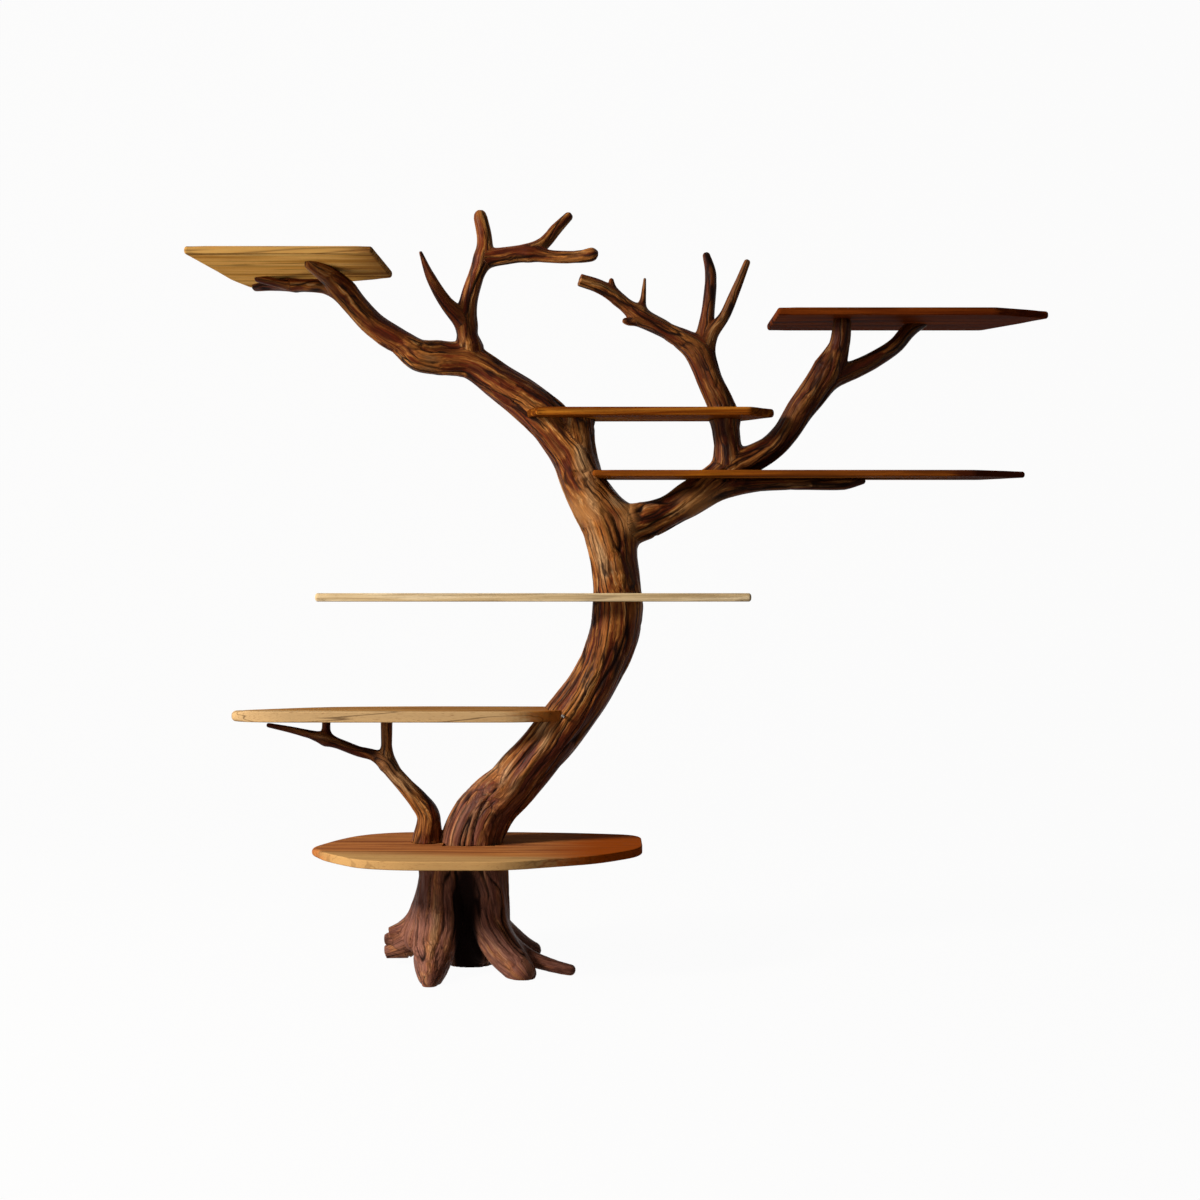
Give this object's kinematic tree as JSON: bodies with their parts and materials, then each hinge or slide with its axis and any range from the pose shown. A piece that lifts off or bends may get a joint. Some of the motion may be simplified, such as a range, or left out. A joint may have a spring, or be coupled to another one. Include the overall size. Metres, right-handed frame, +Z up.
{
  "type": "tree shaped bookshelf",
  "caption": "Free-standing bookshelf made from a natural leaning tree on its own roots, with limbs and bare branches that carry staggered wooden boards at different heights.",
  "frame": {"origin": "on the floor, under the middle of the box round the whole bookshelf", "axes": "+X to the right seen from the front, +Y to the rear, +Z up"},
  "size_m": [2.0174, 0.487, 1.8329],
  "materials": {
    "root_wood": "clear varnish over weathered root wood, deeply fissured",
    "limb_wood": "gloss clear varnish over bare fissured limb wood",
    "honey_board": "satin varnish, honey brown",
    "dark_board": "gloss varnish, dark red brown",
    "orange_board": "gloss varnish, orange brown",
    "brown_board": "gloss varnish, medium brown",
    "blond_board": "satin varnish, pale blond",
    "beige_board": "satin varnish, beige with dark grain",
    "red_board": "satin varnish, reddish brown",
    "dowel_wood": "plain turned beech",
    "fixing_steel": "zinc plated"
  },
  "bodies": {
    "root": {"trunk": "root_wood", "left_limb": "limb_wood", "left_crown": "limb_wood", "right_limb": "limb_wood", "right_crown": "limb_wood", "upper_right_limb": "limb_wood", "prop_branch": "limb_wood", "shelf_top_left": "honey_board", "shelf_top_right": "dark_board", "shelf_upper_middle": "orange_board", "shelf_lower_right": "brown_board", "shelf_middle": "blond_board", "shelf_lower_left": "beige_board", "shelf_base": "red_board", "dowel_left_limb": "dowel_wood", "dowel_right_limb": "dowel_wood", "dowel_upper_limb": "dowel_wood", "dowel_left_crown": "dowel_wood", "dowel_right_crown": "dowel_wood", "dowel_prop_branch": "dowel_wood", "dowel_inner_post": "dowel_wood", "dowel_outer_post": "dowel_wood", "screw_top_left_front": "fixing_steel", "plug_top_left_front": "dowel_wood", "screw_top_left_rear": "fixing_steel", "plug_top_left_rear": "dowel_wood", "screw_top_left_side": "fixing_steel", "plug_top_left_side": "dowel_wood", "screw_top_right_inner": "fixing_steel", "plug_top_right_inner": "dowel_wood", "screw_top_right_outer": "fixing_steel", "plug_top_right_outer": "dowel_wood", "screw_upper_middle": "fixing_steel", "plug_upper_middle": "dowel_wood", "screw_lower_right": "fixing_steel", "plug_lower_right": "dowel_wood", "lag_base": "fixing_steel", "lag_lower_left": "fixing_steel", "lag_middle": "fixing_steel", "lag_upper_middle": "fixing_steel", "lag_lower_right": "fixing_steel"}
  },
  "joints": []
}
